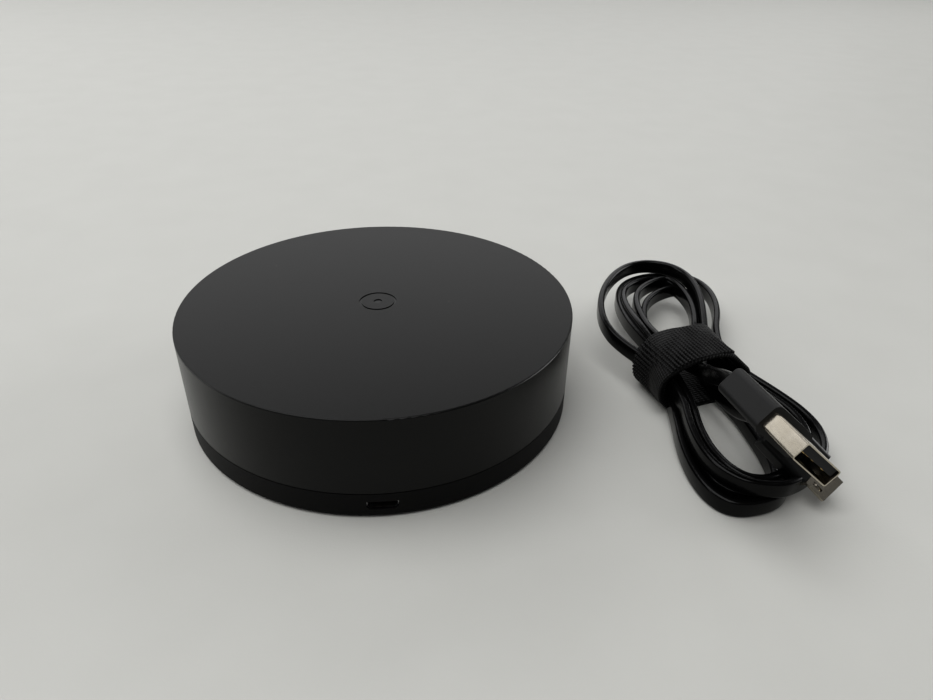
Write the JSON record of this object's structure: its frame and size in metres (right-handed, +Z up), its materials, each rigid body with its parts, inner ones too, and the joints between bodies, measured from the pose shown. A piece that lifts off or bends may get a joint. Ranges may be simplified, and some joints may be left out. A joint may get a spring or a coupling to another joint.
{
  "type": "infrared remote hub",
  "caption": "Round black table-top hub, a low plain puck with a separate base ring and a USB port, lying beside its detached flat USB supply cable in a tied hank.",
  "frame": {"origin": "centre of the hub's foot pad, on the surface it stands on", "axes": "+Z up along the hub's round axis, -Y out of its USB port, +X towards the cable"},
  "size_m": [0.167, 0.1243, 0.0313],
  "materials": {
    "shell_satin": "satin black infrared-clear polycarbonate",
    "base_matte": "fine matte black",
    "foot_rubber": "matte black",
    "screw_steel": "zinc plated",
    "board_laminate": "green solder mask",
    "socket_steel": "plated steel",
    "insulator_black": "moulded black nylon",
    "contact_gold": "gold flash",
    "chip_epoxy": "moulded epoxy",
    "can_metal": "drawn metal",
    "emitter_resin": "tinted clear resin",
    "lead_pvc": "glossy soft vinyl",
    "grip_plastic": "satin dark grey moulding",
    "plug_nickel": "bright nickel plate",
    "tie_fabric": "black woven hook-and-loop tape"
  },
  "bodies": {
    "hub": {"base_housing": "base_matte", "top_housing": "shell_satin", "foot_pad": "foot_rubber", "case_screws": "screw_steel", "board_screws": "screw_steel", "main_board": "board_laminate", "usb_socket_shell": "socket_steel", "usb_socket_insulator": "insulator_black", "usb_socket_contacts": "contact_gold", "reset_switch_body": "insulator_black", "reset_switch_dome": "socket_steel", "ir_emitter_1": "emitter_resin", "ir_emitter_2": "emitter_resin", "ir_emitter_3": "emitter_resin", "ir_emitter_4": "emitter_resin", "ir_emitter_5": "emitter_resin", "ir_emitter_6": "emitter_resin", "ir_emitter_top": "emitter_resin", "ir_receiver": "chip_epoxy", "wifi_module_board": "board_laminate", "wifi_shield_can": "can_metal", "wifi_antenna": "contact_gold", "processor_chip": "chip_epoxy", "crystal": "can_metal", "bulk_capacitors": "can_metal", "power_inductor": "chip_epoxy", "voltage_regulator": "chip_epoxy", "emitter_drivers": "chip_epoxy", "board_resistors": "chip_epoxy", "status_led": "emitter_resin"},
    "reset_button": {"reset_plunger": "insulator_black"},
    "supply_cable": {"cable_hank": "lead_pvc", "cable_plug_lead": "lead_pvc", "cable_device_lead": "lead_pvc", "cable_tie": "tie_fabric", "usb_a_shell": "plug_nickel", "usb_a_insulator": "insulator_black", "usb_a_contacts": "contact_gold", "usb_a_overmould": "grip_plastic", "micro_b_shell": "plug_nickel", "micro_b_latches": "plug_nickel", "micro_b_insulator": "insulator_black", "micro_b_contacts": "contact_gold", "micro_b_overmould": "grip_plastic"}
  },
  "joints": [
    {"name": "reset_button_press", "type": "slide", "parent": "hub", "child": "reset_button", "axis": [0, 0, 1], "range_m": [0, 0.00025], "stiffness_N_per_m": 2000},
    {"name": "supply_cable_lift", "type": "slide", "parent": "hub", "child": "supply_cable", "axis": [0, 0, 1], "range_m": [0, 0.05]}
  ]
}
